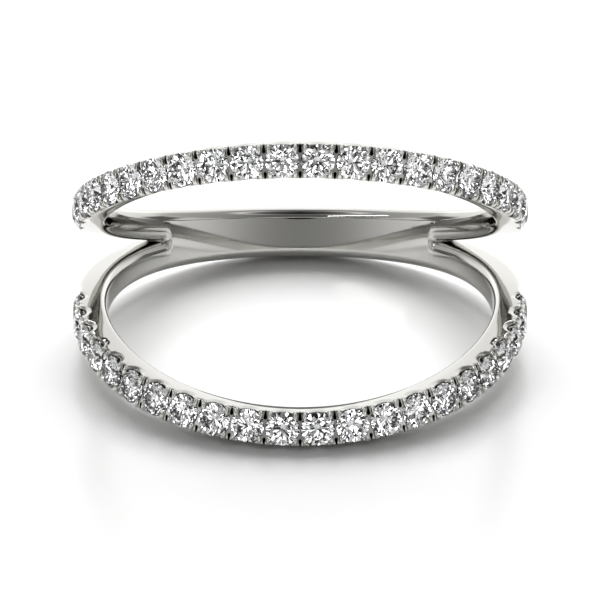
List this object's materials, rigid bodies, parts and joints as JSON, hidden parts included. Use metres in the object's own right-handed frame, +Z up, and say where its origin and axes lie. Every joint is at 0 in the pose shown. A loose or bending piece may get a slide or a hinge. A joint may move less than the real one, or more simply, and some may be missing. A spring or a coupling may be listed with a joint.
{
  "type": "open split diamond band",
  "caption": "Finger ring whose two rows of round brilliants part at the front and join in one plain shank",
  "frame": {"origin": "middle of the underside of the ring's bounding box, on the surface that it rests on", "axes": "+Z up, -Y towards the middle of the two rows, +X to the right as seen from the front; the finger's axis leans from +Z towards +Y by the resting tilt"},
  "size_m": [0.0204, 0.0214, 0.0128],
  "materials": {
    "white_gold": "polished white gold",
    "diamond": "clear faceted diamond"
  },
  "bodies": {
    "root": {"band": "white_gold", "upper_stone_01": "diamond", "upper_stone_02": "diamond", "upper_stone_03": "diamond", "upper_stone_04": "diamond", "upper_stone_05": "diamond", "upper_stone_06": "diamond", "upper_stone_07": "diamond", "upper_stone_08": "diamond", "upper_stone_09": "diamond", "upper_stone_10": "diamond", "upper_stone_11": "diamond", "upper_stone_12": "diamond", "upper_stone_13": "diamond", "upper_stone_14": "diamond", "upper_stone_15": "diamond", "upper_stone_16": "diamond", "upper_stone_17": "diamond", "upper_stone_18": "diamond", "upper_stone_19": "diamond", "upper_stone_20": "diamond", "upper_stone_21": "diamond", "upper_stone_22": "diamond", "lower_stone_01": "diamond", "lower_stone_02": "diamond", "lower_stone_03": "diamond", "lower_stone_04": "diamond", "lower_stone_05": "diamond", "lower_stone_06": "diamond", "lower_stone_07": "diamond", "lower_stone_08": "diamond", "lower_stone_09": "diamond", "lower_stone_10": "diamond", "lower_stone_11": "diamond", "lower_stone_12": "diamond", "lower_stone_13": "diamond", "lower_stone_14": "diamond", "lower_stone_15": "diamond", "lower_stone_16": "diamond", "lower_stone_17": "diamond", "lower_stone_18": "diamond", "lower_stone_19": "diamond", "lower_stone_20": "diamond", "lower_stone_21": "diamond", "lower_stone_22": "diamond"}
  },
  "joints": []
}
